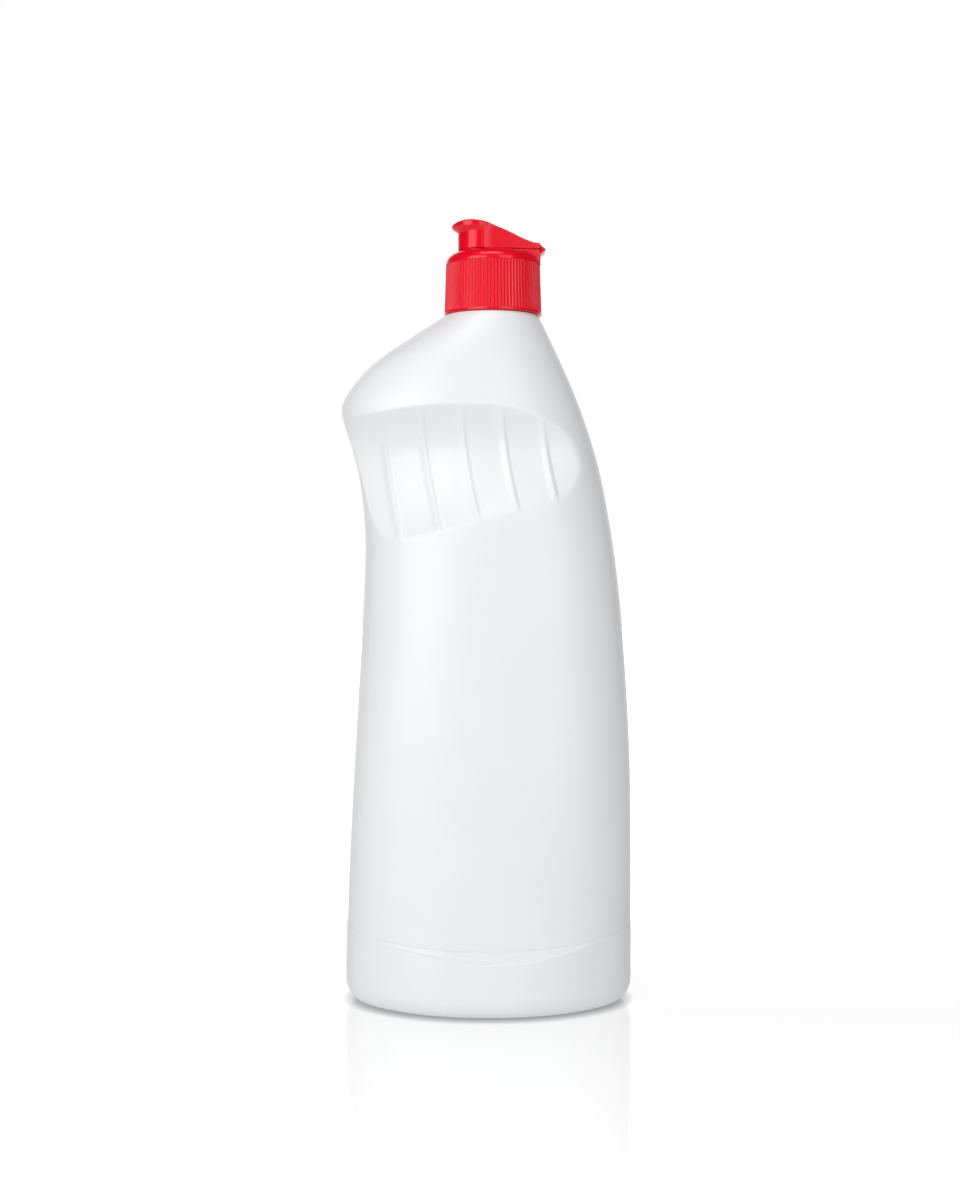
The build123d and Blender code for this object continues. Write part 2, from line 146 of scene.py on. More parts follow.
def piece(name, points, body, node, material, poles=(False, False)):
    """Mesh of quads over a grid of points, rows by columns, in millimetres. A pole closes the
    first or last ring with triangles to its middle. The sign of the volume,
    V = sum(centre . normal), tells whether the faces have to be turned to face outwards."""
    rows, columns = points.shape[:2]
    index = np.arange(rows * columns).reshape(rows, columns)
    ahead = np.roll(index, -1, axis=1)
    quads = np.stack([index[:-1], ahead[:-1], ahead[1:], index[1:]], -1).reshape(-1, 4)
    spots = points.reshape(-1, 3)
    corners = spots[quads] - spots.mean(0)
    normals = np.cross(corners[:, 2] - corners[:, 0], corners[:, 3] - corners[:, 1])
    turn = -1 if (corners.mean(1) * normals).sum() < 0 else 1
    faces = quads[:, ::turn].tolist()
    edges = (ahead[0], index[0], points[0]), (index[-1], ahead[-1], points[-1])
    for closed, (a, b, ring) in zip(poles, edges):
        if closed:
            spots = np.vstack([spots, ring.mean(0)])
            faces += np.stack([a, b, np.full(columns, len(spots) - 1)], -1)[:, ::turn].tolist()
    mesh = bpy.data.meshes.new(name)
    mesh.from_pydata((spots * MM).tolist(), [], faces)
    mesh.shade_smooth()
    mesh.materials.append(material)
    made = bpy.data.objects.new(name, mesh)
    bpy.context.scene.collection.objects.link(made)
    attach(made, body)
    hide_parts(node)
    span = np.ptp(spots, axis=0)
    print(f"{name}: {len(faces)} faces, {span[0]:.1f} x {span[1]:.1f} x {span[2]:.1f} mm")


print("a mesh unit is", 1 / MM, "mm")

# %% [markdown]
# ## Colours and shader nodes
#
# Colours are written as sRGB, the way a colour card has them, and turned into linear light once.
# Object coordinates are metres on the real object, so a scale of 1000 gives grains of about a
# millimetre. Everything is made by nodes, with no picture, so it stays sharp at any distance.

# %% Colours and shader nodes
def linear(code):
    """Linear red, green, blue and alpha of an sRGB colour: ((c + 0.055) / 1.055)^2.4."""
    shares = [int(code[n : n + 2], 16) / 255 for n in (1, 3, 5)]
    return [c / 12.92 if c <= 0.04045 else ((c + 0.055) / 1.055) ** 2.4 for c in shares] + [1]


def add(tree, kind, inputs=(), **settings):
    """Adds one shader node. Inputs go by name or number; a value is set and an output linked."""
    made = tree.nodes.new(kind)
    for key, value in settings.items():
        setattr(made, key, value)
    for key, value in dict(inputs).items():
        if isinstance(value, bpy.types.NodeSocket):
            tree.links.new(value, made.inputs[key])
        else:
            made.inputs[key].default_value = value
    return made


def material(name):
    """Empty material and its node tree."""
    made = bpy.data.materials.new(name)
    made.use_nodes = True
    made.node_tree.nodes.clear()
    return made, made.node_tree


print("mid grey in linear light:", np.round(linear("#808080"), 3).tolist())

# %% [markdown]
# ### White blow-moulded polyethylene
#
# A blown wall copies the sandblasted mould, which gives it a fine matt grain. It cools unevenly,
# so wide, very shallow waves show in its reflections. The two halves of the mould meet on the
# plane y = 0 and leave a fine raised line there. All three are bump maps, because they stand
# out by about a tenth of a millimetre at most. The real grain is about 0.15 mm wide, too
# fine to show, so it is drawn 0.4 mm wide. A little light goes through the skin, which softens
# the shade inside the grip.

# %% White polyethylene
hdpe, tree = material("blow_moulded_hdpe")
place = add(tree, "ShaderNodeTexCoord").outputs["Object"]
grain = add(tree, "ShaderNodeTexNoise", {"Vector": place, "Scale": 2600.0, "Detail": 2.0})
waves = add(tree, "ShaderNodeTexNoise", {"Vector": place, "Scale": 38.0, "Detail": 1.0})

# The line where the mould parts: exp(-(y / 0.3 mm)^2), raised by 0.08 mm.
sideways = add(tree, "ShaderNodeSeparateXYZ", {"Vector": place}).outputs["Y"]
narrow = add(tree, "ShaderNodeMath", {0: sideways, 1: 1 / 0.0003}, operation="MULTIPLY").outputs[0]
square = add(tree, "ShaderNodeMath", {0: narrow, 1: narrow}, operation="MULTIPLY").outputs[0]
minus = add(tree, "ShaderNodeMath", {0: square, 1: -1.0}, operation="MULTIPLY").outputs[0]
seam = add(tree, "ShaderNodeMath", {0: minus}, operation="EXPONENT").outputs[0]
seam_bump = add(tree, "ShaderNodeBump", {"Height": seam, "Strength": 1.0, "Distance": 0.00008})
wave_bump = add(tree, "ShaderNodeBump", {
    "Height": waves.outputs["Fac"], "Strength": 0.25, "Distance": 0.0006,
    "Normal": seam_bump.outputs[0]})
grain_bump = add(tree, "ShaderNodeBump", {
    "Height": grain.outputs["Fac"], "Strength": 0.12, "Distance": 0.00006,
    "Normal": wave_bump.outputs[0]})

tint = add(tree, "ShaderNodeMix", {
    0: waves.outputs["Fac"], 6: linear("#EEEFF1"), 7: linear("#F3F4F6")}, data_type="RGBA")
shine = add(tree, "ShaderNodeMapRange", {0: grain.outputs["Fac"], 3: 0.28, 4: 0.35})
skin = add(tree, "ShaderNodeBsdfPrincipled", {
    "Base Color": tint.outputs[2], "Roughness": shine.outputs[0], "IOR": 1.54,
    "Subsurface Weight": 0.12, "Subsurface Radius": (0.004, 0.004, 0.0035),
    "Subsurface Scale": 1.0, "Normal": grain_bump.outputs[0]})
add(tree, "ShaderNodeOutputMaterial", {"Surface": skin.outputs[0]})
print("white polyethylene:", len(tree.nodes), "nodes")

# %% [markdown]
# ### Red injection-moulded polypropylene
#
# The cap's steel mould is polished, so the red is glossy. Its pigment is dense, light goes less
# than a millimetre into it, and the flow of the melt leaves barely visible differences of gloss,
# about 6 mm wide.

# %% Red polypropylene
red, tree = material("injection_moulded_pp_red")
place = add(tree, "ShaderNodeTexCoord").outputs["Object"]
flow = add(tree, "ShaderNodeTexNoise", {"Vector": place, "Scale": 160.0, "Detail": 3.0})
tint = add(tree, "ShaderNodeMix", {
    0: flow.outputs["Fac"], 6: linear("#EA0020"), 7: linear("#F00026")}, data_type="RGBA")
shine = add(tree, "ShaderNodeMapRange", {0: flow.outputs["Fac"], 3: 0.15, 4: 0.21})
skin = add(tree, "ShaderNodeBsdfPrincipled", {
    "Base Color": tint.outputs[2], "Roughness": shine.outputs[0], "IOR": 1.49,
    "Subsurface Weight": 0.05, "Subsurface Radius": (0.002, 0.0003, 0.0003),
    "Subsurface Scale": 1.0})
add(tree, "ShaderNodeOutputMaterial", {"Surface": skin.outputs[0]})
print("red polypropylene:", len(tree.nodes), "nodes")

# %% [markdown]
# ### Polyethylene foam
#
# The sealing ring is punched out of a sheet of closed-cell foam: off-white, dull, with cells of
# about a third of a millimetre.

# %% Foam
foam, tree = material("polyethylene_foam")
place = add(tree, "ShaderNodeTexCoord").outputs["Object"]
cells = add(tree, "ShaderNodeTexVoronoi", {"Vector": place, "Scale": 3000.0}).outputs["Distance"]
tint = add(tree, "ShaderNodeMix", {
    0: cells, 6: linear("#F1EFEA"), 7: linear("#DFDDD6")}, data_type="RGBA")
bump = add(tree, "ShaderNodeBump", {"Height": cells, "Strength": 0.4, "Distance": 0.0001})
skin = add(tree, "ShaderNodeBsdfPrincipled", {
    "Base Color": tint.outputs[2], "Roughness": 0.8, "IOR": 1.5, "Normal": bump.outputs[0]})
add(tree, "ShaderNodeOutputMaterial", {"Surface": skin.outputs[0]})
print("foam:", len(tree.nodes), "nodes")

# %% [markdown]
# ## Plan of the bottle
#
# On the real bottle a tube of hot plastic is blown against a mould, whose plan is a soft oval
# that changes with the height. A cage of a few faces with a subdivision modifier could give it.
# Here a superellipse does, because its squareness is one number and its ends follow the drawing.
#
# The outline is held as a few points a line, as a mould maker's drawing has it: the height as a
# share of the body's height, and the front, back and depth as shares of the half length and the
# half depth. The solid has the same lines.

# %% Plan of the bottle
half_length, half_depth, body_height = 50.5, 29.3, 238.0
front_shares = [
    (0.067, -0.962), (0.200, -0.943), (0.350, -0.908), (0.525, -0.861), (0.650, -0.834),
    (0.702, -0.842), (0.761, -0.875), (0.805, -0.925), (0.835, -0.972), (0.860, -1.000),
    (0.879, -0.978), (0.908, -0.883), (0.938, -0.737), (0.967, -0.535), (1.000, -0.295),
]
back_shares = [
    (0.067, 0.996), (0.172, 1.000), (0.349, 0.994), (0.525, 0.949), (0.643, 0.893),
    (0.761, 0.798), (0.835, 0.701), (0.908, 0.570), (1.000, 0.368),
]
depth_shares = [
    (0.067, 1.000), (0.350, 0.997), (0.643, 0.980), (0.805, 0.952), (0.860, 0.925),
    (0.908, 0.850), (0.938, 0.785), (0.967, 0.700), (1.000, 0.575),
]
foot_squareness = 2.3
squareness_shares = [(0.067, foot_squareness), (0.35, 2.3), (0.76, 2.2), (0.9, 2.1), (1.0, 2.0)]


def oval(angle, squareness):
    """Superellipse of half width 1: u and v are the cosine and the sine of the angle raised to
    the power 2 / squareness, with their signs kept."""
    power = 2 / squareness
    u = np.sign(np.cos(angle)) * np.abs(np.cos(angle)) ** power
    v = np.sign(np.sin(angle)) * np.abs(np.sin(angle)) ** power
    return u, v


def ends(height):
    """Places of the outline's front and back along X: share times half length."""
    share = height / body_height
    return along(front_shares, share) * half_length, along(back_shares, share) * half_length


def plan(height, angle):
    """Plan at a height: x = middle + half u, y = depth v, with u and v of the superellipse."""
    front, back = ends(height)
    u, v = oval(angle, along(squareness_shares, height / body_height))
    depth = along(depth_shares, height / body_height) * half_depth
    return (front + back) / 2 + (back - front) / 2 * u, depth * v


def even_angles(columns, height):
    """Angles whose points are evenly spaced round the plan at a height, from the back."""
    fine = np.linspace(0, 2 * np.pi, 20001)
    run = np.r_[0, np.cumsum(np.hypot(*np.diff(plan(height, fine), axis=1)))]
    return np.interp(np.arange(columns) / columns * run[-1], run, fine)


angle = even_angles(520, 185.0)
print("plan in the middle spans", np.round(np.ptp(plan(119.0, angle), axis=1), 1), "mm")

# %% [markdown]
# ## Finger grip
#
# The grip is a scoop turned on a lathe into a block that each half of the mould carries, so its
# floor is part of a surface of revolution, with five ribs that keep wet fingers from slipping.
# Its axis leans with the fingers. A boolean cut would leave a sharp edge and stray faces, so
# here the floor is a formula, and the smaller of the two depths becomes the skin.

# %% Floor of the finger grip
grip_x, grip_z, grip_lean, grip_half_depth = 1.4, 197.1, math.radians(7.2), 20.0
waist_radius, flare_radius = 55.3, 87.4
rib_places = np.array([-35.5, -21.95, -8.4, 5.15, 18.7])
rib_height, rib_rise, rib_fall, rib_bend = 0.8, 2.6, 1.0, 0.0026
rib_shift, rib_bend_middle = 0.6, 4.4


def grip_floor(x, z):
    """Half depth of the floor of the grip. With s along the leaning axis and t across it, the
    radius is r(s) = waist + flare - sqrt(flare^2 - s^2) - rib, and the floor lies at
    grip depth + waist - sqrt(r^2 - t^2). A rib bends by b t^2, rises slowly and falls fast."""
    s = (x - grip_x) * math.cos(grip_lean) + (z - grip_z) * math.sin(grip_lean)
    t = (z - grip_z) * math.cos(grip_lean) - (x - grip_x) * math.sin(grip_lean)
    off = (s - rib_bend * (t + rib_bend_middle) ** 2 + rib_shift)[..., None] - rib_places
    rib = (ease(1 + off / rib_rise) * ease(1 - off / rib_fall)).max(-1) * rib_height
    radius = waist_radius + flare_radius - np.sqrt(flare_radius**2 - s**2) - rib
    return grip_half_depth + waist_radius - np.sqrt(np.maximum(radius**2 - t**2, 0))


bottom_of_scoop = float(grip_floor(np.array(grip_x), np.array(grip_z)))
print(f"the grip is {half_depth - bottom_of_scoop:.1f} mm deep in its middle")

# %% [markdown]
# ## Body
#
# The rows go up the label panel, through the grip, over its curved lip and up the shoulder, and
# end on the neck. They are bent so that they run along the lip, which keeps its rounding smooth
# from end to end. Under the lip the floor swings out in a hollow, because a sharp inside corner
# would tear the soft wall when it leaves the mould. The lowest row follows the line of the foot's
# ledge, and the shoulder swells a little where it goes in under the cap.

# %% Body
lip_shares = [
    (-1.140, 0.100), (-0.867, 0.145), (-0.490, 0.032), (-0.244, 0.000),
    (0.113, 0.032), (0.354, 0.168), (0.566, 0.464), (0.720, 1.000),
]
lip_height, lip_drop, lip_hollow, lip_band = 205.6, 22.0, 16.0, 1.6
ledge_middle, ledge_rise, grip_base = 22.9, 4.0, 146.0
cap_x, neck_radius, shoulder_swell = 2.45, 12.9, 0.36

lip = np.full_like(angle, lip_height)
for _ in range(20):  # the lip's height depends on x, and x on the height
    lip = lip_height - along(lip_shares, plan(lip, angle)[0] / half_length) * lip_drop
low, high = lip - lip_band, lip + lip_band
ledge = ledge_middle + ledge_rise * oval(angle, foot_squareness)[0] ** 2
climb = np.concatenate([
    ledge + np.linspace(0, 1, 30, endpoint=False)[:, None] * (grip_base - ledge),
    grip_base + np.linspace(0, 1, 92, endpoint=False)[:, None] * (low - grip_base),
    low + np.linspace(0, 1, 16, endpoint=False)[:, None] * (high - low),
    high + np.linspace(0, 1, 44)[:, None] * (body_height - high),
])

x, y = plan(climb, angle)
outside = np.abs(y)
floor_depth = soft_min(outside, grip_floor(x, climb), 0.4)
hollow = np.maximum(1 + (climb - lip) / lip_hollow, 0) ** 1.9
scooped = floor_depth + (outside - floor_depth) * soft_min(hollow, 1, 0.05)
body = np.dstack([x, np.sign(y) * scooped, climb])

neck_x, neck_y = cap_x + neck_radius * np.cos(angle), neck_radius * np.sin(angle)
neck_ring = np.dstack([neck_x, neck_y, 0 * angle + body_height])
inward = np.array([0.02, 0.04, 0.07, 0.12, 0.5, 1.0])[:, None, None]
top = body[-1:] + (neck_ring - body[-1:]) * inward
top[..., 2:] += shoulder_swell * ease(inward / 0.1)
piece("bottle_body", np.concatenate([body, top]), "bottle", "bottle", hdpe)

# %% [markdown]
# ## Foot
#
# Below the label panel each long side swells into a belly, so that the label is set back and
# does not scuff. The ledge between them starts with a fine step whose line sags in the middle,
# slopes gently and ends in a rounded rim. Underneath, a ring carries the bottle and the middle
# is pushed up, so that it does not rock when the wall shrinks. The body's plan with a belly
# added gives all this in one surface, ring by ring from the ledge to the middle underneath.

# %% Foot
foot_step, foot_belly, belly_reach, foot_round = 0.2, 2.9, 0.78, 7.5
ledge_slope, ledge_depth, step_height = 0.71, 4.8, 0.25
ring_width, push_up_slope, push_up_height = 3.4, 8.0, 3.0


def foot_ring(height, inset):
    """Ring of the foot: the panel's superellipse grown by the step, less an inset, plus a belly
    b (1 - (u / reach)^2)^1.2. Down the ledge, t = 0 to 1, the belly grows by a fine step, a
    gentle slope and a rounded rim: g(t) = 0.12 e(t / 0.09) + 0.22 t + 0.33 (r + e(r)), where r
    is (t - 0.62) / 0.38 and e is the smooth step."""
    front, back = ends(height)
    front, back = front - foot_step + inset, back + foot_step - inset
    u, v = oval(angle, foot_squareness)
    full = foot_belly * np.maximum(0, 1 - (u / belly_reach) ** 2) ** 1.2
    t = np.clip((ledge - height) * ledge_slope / np.maximum(full, 0.01), 0, 1)
    r = np.clip((t - 0.62) / 0.38, 0, 1)
    belly = full * (0.12 * ease(t / 0.09) + 0.22 * t + 0.33 * (r + ease(r)))
    y = (half_depth + foot_step - inset) * v + np.sign(v) * belly
    return np.stack([(front + back) / 2 + (back - front) / 2 * u, y, height + 0 * u], -1)


below_ledge = ledge - ledge_depth - foot_round
rings = [np.stack([*plan(ledge, angle), ledge], -1)]
rings += [foot_ring(ledge - drop, step_height - drop) for drop in (0.0, 0.08, 0.16, 0.25)]
rings += [foot_ring(ledge - drop, 0) for drop in np.linspace(0.34, ledge_depth, 46)]
rings += [foot_ring(foot_round + below_ledge * share, 0) for share in (0.8, 0.6, 0.4, 0.2, 0)]
rings += [
    foot_ring(foot_round * (1 - math.sin(a)), foot_round * (1 - math.cos(a)))
    for a in np.linspace(0, np.pi / 2, 14)[1:]
]
rings += [foot_ring(0.0, foot_round + ring_width * share) for share in (0.4, 0.8)]
rings += [
    foot_ring(push_up_height * ease(share), foot_round + ring_width + push_up_slope * share)
    for share in np.linspace(0, 1, 12)[1:]
]
foot_middle = np.array([rings[-1][:, 0].mean(), 0, push_up_height])
rings += [foot_middle + (rings[-1] - foot_middle) * share for share in (0.75, 0.5, 0.25, 0.06)]
piece("bottle_foot", np.stack(rings), "bottle", "bottle", hdpe, (False, True))

# %% [markdown]
# ## Pinch-off ridge
#
# The mould closes on a soft tube and welds it shut where the halves meet. Cutting the tail off
# leaves a fine straight ridge across the push-up, from the front of the bottle to the back. It
# is a thin oval rod here, half sunk in the push-up.

# %% Pinch-off ridge
pinch_length, pinch_width, pinch_height = 46.0, 1.2, 0.5

# Half length sin(b), and a section that thins towards the ends as cos(b)^0.5.
lengthwise = np.sin(np.linspace(-0.499, 0.499, 41) * np.pi)[:, None]
section = np.linspace(0, 2 * np.pi, 24, endpoint=False)
thin = (1 - lengthwise**2) ** 0.25
ridge = np.stack([
    foot_middle[0] + pinch_length / 2 * lengthwise + 0 * section,
    pinch_width / 2 * thin * np.cos(section),
    push_up_height + pinch_height * thin * np.sin(section),
], -1)
piece("bottle_pinch_off", ridge, "bottle", "bottle", hdpe, (True, True))

# %% [markdown]
# ## Neck
#
# The neck is the only part of a blown bottle that is made to size, because the cap has to fit it.
# It has a bead that the cap stops above, and a right-hand thread that rises one pitch a turn.
# A screw modifier could make the thread as a coil of its own. Here it swells out of the wall, so
# that neck and thread are one skin, and it fades in and out at its ends as a moulded one does.

# %% Neck
neck_bore, neck_top = 10.95, 257.1
bead_radius, bead_low, bead_high = 14.1, 239.0, 240.3
thread_pitch, thread_depth, thread_width = 4.0, 1.1, 1.1


def thread(height, angle, start, turns):
    """Height of a helical ridge over the wall. Its middle is z = start + pitch a / 2 pi, and its
    flanks fall off as a smooth step of the distance from there."""
    wind = angle / (2 * np.pi)
    turn = np.round((height - start) / thread_pitch - wind) + wind
    off = np.abs(height - start - thread_pitch * turn)
    fade = ease(turn / 0.08) * ease((turns - turn) / 0.08)
    return thread_depth * fade * ease((thread_width - off) / (thread_width * 0.6))


def neck_surface(radius, height, angle):
    """The neck's own radius plus the thread on its outside."""
    on = (radius > neck_radius - 0.1) & (height > 241.5) & (height < neck_top - 0.7)
    return radius + on * thread(height, angle, 244.3, 2.4)


neck_path = rounded(
    [(neck_radius + 0.5, 237.4), (neck_radius, 238.0), (neck_radius, bead_low),
     (bead_radius, bead_low), (bead_radius, bead_high), (neck_radius, bead_high),
     (neck_radius, neck_top), (neck_bore, neck_top), (neck_bore, 235.5)],
    [0.3, 0.3, 0.3, 0.3, 0.3, 0.5, 0.4], step=0.22, arc_steps=5)
neck = turned(neck_path, cap_x, 240, neck_surface)
piece("bottle_neck", neck, "bottle", "bottle", hdpe)

# %% [markdown]
# ## Sealing ring
#
# A thin foam ring lies between the neck's top and the cap's land and is pressed when the cap is
# tight. Its section is a rectangle with soft corners, turned about the neck's axis.

# %% Sealing ring
seal_low, seal_high, seal_inner, seal_outer = 257.12, 257.92, 11.25, 13.4
seal_start = (12.3, seal_low)
ring_path = rounded(
    [seal_start, (seal_outer, seal_low), (seal_outer, seal_high), (seal_inner, seal_high),
     (seal_inner, seal_low), seal_start], [0.15] * 4, arc_steps=4)
ring = turned(ring_path, cap_x, 160)
piece("sealing_ring_foam", ring, "seal", "sealing_ring", foam)

# %% [markdown]
# ## Cap
#
# The skirt carries 88 fine ribs for the grip of wet fingers. They start above a smooth band at
# the rim and stop under a small eave, above which the shoulder rounds in to the deck. Inside
# are the thread, the land that presses the foam, and a plug seal that fits the neck's bore.
# Single ribs could be copied round an axis. As grooves in the radius they cost eight columns
# each and leave one closed skin, with extra rows only where the grooves end.

# %% Cap
rib_total, groove_depth, rib_low, rib_high = 88, 0.42, 239.4, 256.3
skirt_low, skirt_high, rim_radius, eave_radius, wall_radius = 238.6, 256.6, 17.0, 16.45, 14.7
deck_radius, deck_z, shoulder_width, shoulder_rise = 11.0, 260.5, 5.45, 3.9


def skirt(radius, height, angle):
    """Outside: less a groove of depth d e(1.15 - phase / 0.33) between each two ribs, where e
    is the smooth step. Inside: less the thread's ridge, half a pitch off the neck's."""
    phase = np.abs((angle * rib_total / (2 * np.pi)) % 1 - 0.5)
    groove = groove_depth * ease(1.15 - phase / 0.33)
    length = ease((height - rib_low) / 0.35) * ease((rib_high - height) / 0.3)
    outer = (radius > 16.2) & (height > rib_low) & (height < rib_high)
    inner = (np.abs(radius - wall_radius) < 0.05) & (height > 240.5) & (height < skirt_high)
    return radius - outer * groove * length - inner * thread(height, angle, 242.3, 2.6)


deck = np.array([(0.4, deck_z), (5.0, deck_z), (10.5, deck_z)])
bend = np.linspace(0, np.pi / 2, 15)
shoulder = np.stack([
    deck_radius + shoulder_width * np.sin(bend), skirt_high + shoulder_rise * np.cos(bend)], -1)
outside_path = rounded(
    [(eave_radius, skirt_high), (eave_radius, rib_high), (rim_radius, rib_low),
     (rim_radius, skirt_low), (wall_radius, skirt_low)], [0.1, 0.1, 0.35], step=1.8, arc_steps=5)
rib_ends = np.r_[np.linspace(256.28, 255.9, 7), np.linspace(239.8, 239.42, 7)]
rib_end_radii = np.interp(rib_ends, [rib_low, rib_high], [rim_radius, eave_radius])
skirt_path = np.concatenate([outside_path[1:-1], np.stack([rib_end_radii, rib_ends], -1)])
from_top = -skirt_path[:, 1] + 1e-3 * (rim_radius - skirt_path[:, 0])
skirt_path = skirt_path[np.argsort(from_top)]
threaded_wall = np.stack([np.full(46, wall_radius), np.linspace(skirt_low, 256.7, 46)], -1)
land_and_plug = rounded(
    [(wall_radius, 256.8), (wall_radius, 257.04), (13.8, 257.94), (10.85, 257.94),
     (10.85, 254.94), (9.75, 254.94), (9.75, 259.05), (8.8, 259.05)],
    [0.12, 0.2, 0.3, 0.4, 0.4, 0.5], step=1.6, arc_steps=3)
under_deck = [(0.4, 259.05)]
cap_path = np.concatenate([deck, shoulder, skirt_path, threaded_wall, land_and_plug, under_deck])
cap = turned(cap_path, cap_x, rib_total * 8, skirt)
piece("cap_shell", cap, "cap", "cap_body", red, (True, True))

# %% [markdown]
# ## Keyhole plan
#
# Seat and lid share one plan, a keyhole: round over the nozzle, with a tail that narrows to the
# hinge. It is found by rays from the middle of the round front, each as long as the circle or
# the tail reaches, with a small rounding where one gives way to the other.

# %% Keyhole plan
lid_x, lid_radius, tail_half_width, tail_taper, tail_end = -2.3, 7.5, 4.7, 0.126, 19.0


def outward(shape):
    """Unit normals of a closed plan curve: the step between a point's neighbours, turned."""
    step = np.roll(shape, -1, 0) - np.roll(shape, 1, 0)
    normal = np.stack([step[:, 1], -step[:, 0]], -1)
    return normal / np.linalg.norm(normal, axis=1, keepdims=True)


def keyhole(columns=420):
    """Closed plan curve, resampled to even steps: the larger of a circle and a tapered tail
    along each ray. The tail's side y = w + k (far - x) is met at
    r = (w + k far) / (|sin a| + k cos a), and its end at far / cos a."""
    fine = np.linspace(0, 2 * np.pi, 14401)
    far = tail_end - lid_x
    ahead = np.maximum(np.cos(fine), 1e-3)
    side = (tail_half_width + tail_taper * far) / (np.abs(np.sin(fine)) + tail_taper * ahead)
    tail = soft_min(far / ahead, side, 0.5)
    reach = np.where(np.cos(fine) > 0.2, soft_max(lid_radius, tail, 0.2), lid_radius)
    shape = np.stack([reach * np.cos(fine), reach * np.sin(fine)], -1)
    run = np.r_[0, np.cumsum(np.linalg.norm(np.diff(shape, axis=0), axis=1))]
    even = np.arange(columns) / columns * run[-1]
    return np.stack([np.interp(even, run, shape[:, 0]), np.interp(even, run, shape[:, 1])], -1)


def level(shape, height):
    """A plan curve about the middle of the lid, lifted to a height, which may vary round it."""
    return np.column_stack([shape + (lid_x, 0.0), np.broadcast_to(height, len(shape))])


key = keyhole()
key_out = outward(key)
print("keyhole is", np.round(np.ptp(key, axis=0), 1), "mm")

# %% [markdown]
# ## Seat and nozzle
#
# The lid closes on a raised seat. At its tail the seat runs down to the cap's shoulder, so its
# lowest row follows the height of the shoulder under it. The nozzle is a small cone through
# which a thin jet comes out. Its bore goes down through the deck.

# %% Seat and nozzle
seat_z, seat_edge = 261.2, 0.25

from_axis = np.hypot(key[:, 0] + lid_x - cap_x, key[:, 1])
fall = np.sqrt(np.clip(1 - ((from_axis - deck_radius) / shoulder_width) ** 2, 0, 1))
shoulder_here = np.where(from_axis < deck_radius, deck_z, skirt_high + shoulder_rise * fall)
seat_wall = seat_z - seat_edge - shoulder_here
seat_rows = [level(key - 0.02 * key_out, shoulder_here - 0.4)]
seat_rows += [level(key, shoulder_here + seat_wall * share) for share in np.linspace(0, 1, 6)]
seat_rows += [
    level(key - seat_edge * (1 - math.cos(a)) * key_out, seat_z - seat_edge * (1 - math.sin(a)))
    for a in np.linspace(0, np.pi / 2, 5)[1:]
]
seat_top = key - seat_edge * key_out
seat_rows += [level(seat_top * share, seat_z) for share in (0.9, 0.7, 0.45, 0.2, 0.05)]
piece("cap_seat", np.stack(seat_rows), "cap", "cap_body", red, (False, True))

nozzle_path = rounded(
    [(0.3, 258.2), (1.6, 258.2), (1.6, 266.2), (2.7, 266.2), (3.1, 261.3), (4.2, 261.1)],
    [0.1, 0.25, 0.35, 0.4], step=0.6)
piece("nozzle", turned(nozzle_path, lid_x, 128), "cap", "cap_body", red, (True, False))

# %% [markdown]
# ## Film hinge
#
# Cap and lid are one moulding, joined by a strip so thin that it bends thousands of times. Each
# half is a bar across the tail: a closed outline in side view with rounded ends. The cap's half
# has the round edge on which the lid turns, and the lid's half stays just clear of it, so that
# neither cuts into the other at any angle.

# %% Film hinge
hinge_x, hinge_z, film_radius, hinge_half_width = 20.3, 261.275, 0.45, 4.2


def bar(outline, half_width, edge=0.2):
    """Rings of an outline in the plane XZ at places y across the tail. Near the ends they draw
    in towards the outline's middle by edge (1 - cos a) while y grows by edge sin a."""
    outline = np.array(outline, float)
    away = outline - outline.mean(0)
    away /= np.linalg.norm(away, axis=1, keepdims=True)
    turn = np.linspace(0, np.pi / 2, 5)
    inner = half_width - edge
    places = np.r_[-inner - edge * np.cos(turn), inner + edge * np.sin(turn)]
    draws = np.r_[edge * (1 - np.sin(turn)), edge * (1 - np.cos(turn))]
    return np.stack([
        np.column_stack([o[:, 0], np.full(len(o), y), o[:, 1]])
        for y, o in zip(places, (outline - draw * away for draw in draws))
    ])


nose = np.linspace(-0.34 * np.pi, 0.55 * np.pi, 12)
film = np.concatenate([
    [(18.3, 260.4), (18.3, 259.3), (18.8, 259.5), (19.3, 259.9), (19.9, 260.4)],
    np.stack([hinge_x + film_radius * np.cos(nose), hinge_z + film_radius * np.sin(nose)], -1),
    [(19.7, 261.3), (19.0, 261.2)],
])
beak = [(18.3, 262.3), (18.3, 261.5), (19.2, 261.42), (19.74, 261.45), (19.93, 261.72),
        (20.18, 261.86), (19.7, 262.2), (19.1, 262.75), (18.7, 263.05), (18.4, 263.1)]
hinge_bar, beak_bar = bar(film, hinge_half_width), bar(beak, hinge_half_width)
piece("film_hinge", hinge_bar, "cap", "cap_body", red, (True, True))
piece("lid_beak", beak_bar, "lid", "flip_lid", red, (True, True))

# %% [markdown]
# ## Brim of the lid
#
# From the side the lid's top falls in a long curve from the thumb tab to the hinge. The tab is
# a round brim that flares out of the wall, so that a thumb can lift the lid. Its plan is the
# larger of the keyhole and a wider circle set a little to the front.

# %% Brim of the lid
tab_x, tab_radius, lid_height = -3.7, 8.35, 9.9
flare_low, flare_rise = 267.3, 2.1
top_shares = [
    (-0.450, 0.905), (-0.330, 0.965), (-0.200, 1.000), (-0.060, 0.988), (0.124, 0.925),
    (0.320, 0.760), (0.450, 0.650), (0.720, 0.380), (0.880, 0.255), (1.000, 0.220),
]


def lid_top(x):
    """Height of the lid's top at a place along X, measured from the lid's middle."""
    return seat_z + lid_height * along(top_shares, x / (tail_end - lid_x))


